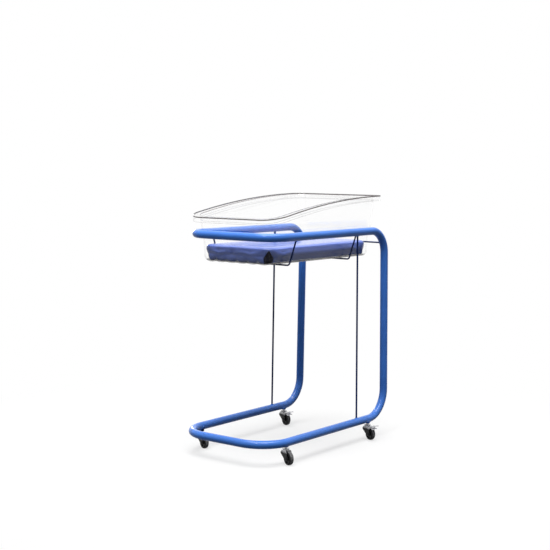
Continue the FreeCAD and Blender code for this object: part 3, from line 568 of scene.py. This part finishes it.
def swell(piece):
    """Blow the pad up a little as cloth, so that its sides crown between the corners."""
    start = coordinates(piece.data)
    cloth = piece.modifiers.new("swell", "CLOTH")
    settings = cloth.settings
    settings.use_pressure = True
    settings.uniform_pressure_force = PAD_PRESSURE
    settings.effector_weights.gravity = 0.0
    settings.quality = PAD_QUALITY
    settings.tension_stiffness = PAD_STIFFNESS
    settings.compression_stiffness = PAD_STIFFNESS
    settings.bending_stiffness = PAD_BENDING
    cloth.point_cache.frame_end = PAD_FRAMES
    for step in range(1, PAD_FRAMES + 1):
        bpy.context.scene.frame_set(step)
    applied(piece)
    bpy.context.scene.frame_set(1)
    moved = coordinates(piece.data) - start
    lengths = np.linalg.norm(moved, axis=1, keepdims=True)
    limited = moved * np.minimum(1.0, PAD_SWELL / np.maximum(lengths, SMALLEST))
    set_coordinates(piece.data, start + limited)


def make_mattress():
    """The mattress in its vinyl cover, tucked in at the corners."""
    low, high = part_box("mattress_cover")
    shrink = Vector((PAD_SHRINK, PAD_SHRINK, 0))
    mesh = pad_block(low + shrink, high - shrink - Vector((0, 0, PAD_SHRINK)))
    piece = add_piece("mattress", mesh, "mattress_vinyl", "mattress")
    remesh = piece.modifiers.new("even", "REMESH")
    remesh.mode = "VOXEL"
    remesh.voxel_size = PAD_VOXEL
    remesh.use_smooth_shade = True
    applied(piece)
    swell(piece)
    ease = piece.modifiers.new("ease", "SMOOTH")
    ease.iterations = PAD_EASE
    fine = piece.modifiers.new("fine", "SUBSURF")
    fine.levels = fine.render_levels = 1
    applied(piece)
    fill_basin(piece, high)
    tuck(piece, low, high)
    settle(piece, low)
    keep_off_walls(piece)
    piece.data.shade_smooth()
    dress(piece, "mattress_vinyl")
    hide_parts("mattress_cover", "mattress_foam")


def fill_basin(piece, high):
    """Crown the pad's sides, and stretch it until it nearly touches the tub's walls."""
    places = coordinates(piece.data)
    least = places.min(axis=0)
    most = places.max(axis=0)
    front, rear = BASIN_ENDS
    side = ((places - least) / (most - least))[:, 2:] * 2 - 1
    middle = (least + most) / 2
    places[:, :2] -= (places - middle)[:, :2] / (most - middle)[:2] * SIDE_CROWN * side ** 2
    wanted_least = np.array([PAD_GAP - BASIN_HALF_WIDTH, front + PAD_GAP, least[2]])
    wanted_most = np.array([BASIN_HALF_WIDTH - PAD_GAP, rear - PAD_GAP, high.z + PAD_RISE])
    share = (places - least) / (most - least)
    places = wanted_least + share * (wanted_most - wanted_least)
    lean = BASIN_FLARE * (places[:, 2:] - least[2])
    places[:, :2] += (share[:, :2] * 2 - 1) * lean
    set_coordinates(piece.data, places)


def tuck_share(across, along, down):
    """1 in the middle of a corner's tuck and 0 at its sides, which part further down."""
    half = TUCK_ANGLE * np.clip((down - TUCK_TOP) / TUCK_OPENING, 0, 1)
    off_middle = np.abs(np.arctan2(across, along) - math.pi / 4)
    share = np.clip(1 - off_middle / np.maximum(half, SMALLEST), 0, 1)
    return np.where((across > 0) & (along > 0) & (half > 0), share, 0)


def gather(x, down):
    """How deep the gathers across an end are, in lines that wander a little."""
    phase = down * math.pi * 2 * GATHER_COUNT
    for size, rate, start in GATHER_WANDER:
        phase = phase + size * np.sin(x * rate + start)
    growth, delay = GATHER_FADE
    return GATHER_DEPTH * (1 + np.sin(phase)) / 2 * np.clip(down * growth - delay, 0, 1)


def uneven(x, y):
    """Slow swells of the top from -1 to 1, with rates in radians per metre."""
    return np.sin(x * 31 + 1.3 * np.sin(y * 9)) * np.sin(y * 17 + 2.0 * np.sin(x * 13))


def tuck(piece, low, high):
    """Fold the cover in at the corners, gather it across both ends and make the top uneven."""
    places = coordinates(piece.data)
    x, y, z = places.T
    middle = (low + high) / 2
    down = np.clip((high.z - z) / (high.z - low.z), 0, 1)
    across = np.abs(x) - (high.x - MATTRESS_CORNER)
    along = np.abs(y - middle.y) - ((high.y - low.y) / 2 - MATTRESS_CORNER)
    share = tuck_share(across, along, down)
    depth = TUCK_DEPTH * np.minimum(share * TUCK_STEEPNESS, 1) * np.minimum(down * TUCK_FADE, 1)
    reach = np.maximum(np.hypot(across, along), SMALLEST)
    x -= np.sign(x) * depth * across / reach
    y -= np.sign(y - middle.y) * depth * along / reach
    # how deep in a tuck each point lies, kept for the vinyl's painted shade
    fold_shade = piece.data.attributes.new("fold_shade", "FLOAT", "POINT")
    fold_shade.data.foreach_set("value", np.minimum(share * FOLD_SHADE_STEEPNESS, 1))
    end = np.clip((along / MATTRESS_CORNER - GATHER_START) / (1 - GATHER_START), 0, 1)
    y -= np.sign(y - middle.y) * end * gather(x, down)
    z += np.where(z > middle.z, uneven(x, y) * TOP_SWING, 0)
    set_coordinates(piece.data, np.stack([x, y, z], axis=1))


def settle(piece, low):
    """Let the underside sag into the flutes of the tub's floor, clear of the curve up to the walls."""
    places = coordinates(piece.data)
    x, y, z = places.T
    phase = np.mod(np.abs(x), FLUTE_PITCH) / FLUTE_PITCH * 2 - 1
    flute = FLUTE_DEPTH * (1 - phase ** 2)
    z -= flute * np.clip((low.z + SAG_HEIGHT - z) / SAG_HEIGHT, 0, 1)
    front, rear = BASIN_ENDS
    over_x = np.abs(x) - (BASIN_HALF_WIDTH - BASIN_CORNER)
    over_y = np.abs(y - (front + rear) / 2) - ((rear - front) / 2 - BASIN_CORNER)
    corner = np.hypot(np.maximum(over_x, 0), np.maximum(over_y, 0))
    to_wall = BASIN_CORNER - corner - np.minimum(np.maximum(over_x, over_y), 0)
    into_curve = np.clip(BASIN_CURVE - to_wall, 0, BASIN_CURVE)
    rise = BASIN_CURVE - np.sqrt(BASIN_CURVE ** 2 - into_curve ** 2)
    floor = BASIN_FLOOR + PAD_GAP + np.maximum(rise, FLUTE_DEPTH - flute)
    set_coordinates(piece.data, np.stack([x, y, np.maximum(z, floor)], axis=1))


def keep_off_walls(piece):
    """Round the pad's corners in plan to the tub's, a little inside them."""
    places = coordinates(piece.data)
    x, y, z = places.T
    front, rear = BASIN_ENDS
    middle = (front + rear) / 2
    lean = BASIN_FLARE * (z - BASIN_FLOOR)
    corner = np.where(y < middle, BASIN_CORNER, BASIN_HEAD_CORNER)
    over_x = np.abs(x) - (BASIN_HALF_WIDTH + lean - corner)
    over_y = np.abs(y - middle) - ((rear - front) / 2 + lean - corner)
    reach = np.hypot(over_x, over_y)
    outside = (over_x > 0) & (over_y > 0) & (reach > corner - PAD_GAP)
    pull = np.where(outside, 1 - (corner - PAD_GAP) / np.maximum(reach, MM), 0)
    x -= np.sign(x) * over_x * pull
    y -= np.sign(y - middle) * over_y * pull
    set_coordinates(piece.data, np.stack([x, y, z], axis=1))


# ---- room, light and camera ------------------------------------------------------------
FLOOR_RADIUS = 9.0
FLOOR_LIT = rgb(0.28, 0.28, 0.28)      # the part of the floor's brightness that shadows can darken
FLOOR_GLOW = 0.66
FLOOR_BOUNCE = rgb(0.08, 0.08, 0.08)   # what the floor throws back up at the object
FLOOR_FADE = (0.7, 1.5)                # metres from the middle over which it turns plain white
ROOM_TINT = rgb(0.92, 0.95, 1.0)
ROOM_LIGHT = 0.09


def make_floor():
    """A pale floor that is white to the camera and keeps the object's shadow."""
    mesh = bmesh.new()
    bmesh.ops.create_circle(mesh, cap_ends=True, segments=96, radius=FLOOR_RADIUS)
    floor = set_down("floor", mesh)
    f = Finish("floor")
    lit = f.node("BsdfDiffuse", {"Color": FLOOR_LIT})
    glow = f.node("Emission", {"Color": WHITE, "Strength": FLOOR_GLOW})
    near = f.node("AddShader", {0: lit, 1: glow})
    white = f.node("Emission", {"Color": WHITE, "Strength": 1.0})
    distance = f.node("VectorMath", {0: f.place}, output="Value", operation="LENGTH")
    looked_at = f.node("MixShader", {0: distance.ramp(*FLOOR_FADE), 1: near, 2: white})
    plain = f.node("BsdfDiffuse", {"Color": FLOOR_BOUNCE})
    floor.data.materials.append(f.output(f.node("MixShader", {0: f.seen(), 1: plain, 2: looked_at})))


def make_world():
    """A room that is white to look at and gives the object a little soft light."""
    world = bpy.data.worlds.new("studio")
    room = NodeTree(world)
    dim = room.node("Background", {"Color": ROOM_TINT, "Strength": ROOM_LIGHT})
    white = room.node("Background", {"Color": WHITE, "Strength": 1.0})
    room.node("OutputWorld", {"Surface": room.node("MixShader", {0: room.seen(), 1: dim, 2: white})})
    bpy.context.scene.world = world


def lamp(name, kind, place, aim, **settings):
    """Hang a lamp at a place and turn it to its aim."""
    data = bpy.data.lights.new(name, kind)
    for key, value in settings.items():
        setattr(data, key, value)
    light = bpy.data.objects.new(name, data)
    light.location = place
    light.rotation_euler = (Vector(aim) - Vector(place)).to_track_quat("-Z", "Y").to_euler()
    bpy.context.scene.collection.objects.link(light)


def make_lights():
    """A wide sun and a panel above, a small panel on the camera's side, and a low lamp behind."""
    lamp("top_sun", "SUN", (0.35, -0.45, 4.0), (0, 0, 0), energy=2.05, color=(1.0, 0.99, 0.97),
         angle=math.radians(50))
    lamp("top_panel", "AREA", (0.2, -0.2, 3.3), (0.2, -0.2, 0), energy=94.0, size=3.2)
    lamp("camera_panel", "AREA", (0.5, -2.3, 3.0), (0, 0, 0.6), energy=24.0, size=0.6)
    lamp("left_lamp", "AREA", (-2.9, 2.1, 1.0), (-0.2, -0.3, 0.4), energy=12.0, size=0.4)


def make_camera():
    """The camera looks along its azimuth and a little down, with a slight roll."""
    data = bpy.data.cameras.new("camera")
    data.lens = CAMERA_LENS
    data.sensor_width = CAMERA_SENSOR
    camera = bpy.data.objects.new("camera", data)
    bpy.context.scene.collection.objects.link(camera)
    tilt = Matrix.Rotation(math.pi / 2 - CAMERA_ELEVATION, 4, "X")
    turn = Matrix.Rotation(CAMERA_AZIMUTH, 4, "Z") @ tilt
    camera.matrix_world = Matrix.Translation(CAMERA_PLACE) @ turn @ Matrix.Rotation(CAMERA_ROLL, 4, "Z")
    bpy.context.scene.camera = camera


def main():
    dress_nodes()
    make_welds()
    for place in ("front_left", "front_right", "rear_left", "rear_right"):
        make_tyre(place)
    make_mattress()
    make_floor()
    make_world()
    make_lights()
    make_camera()
    bpy.context.scene.view_settings.view_transform = "Standard"


main()
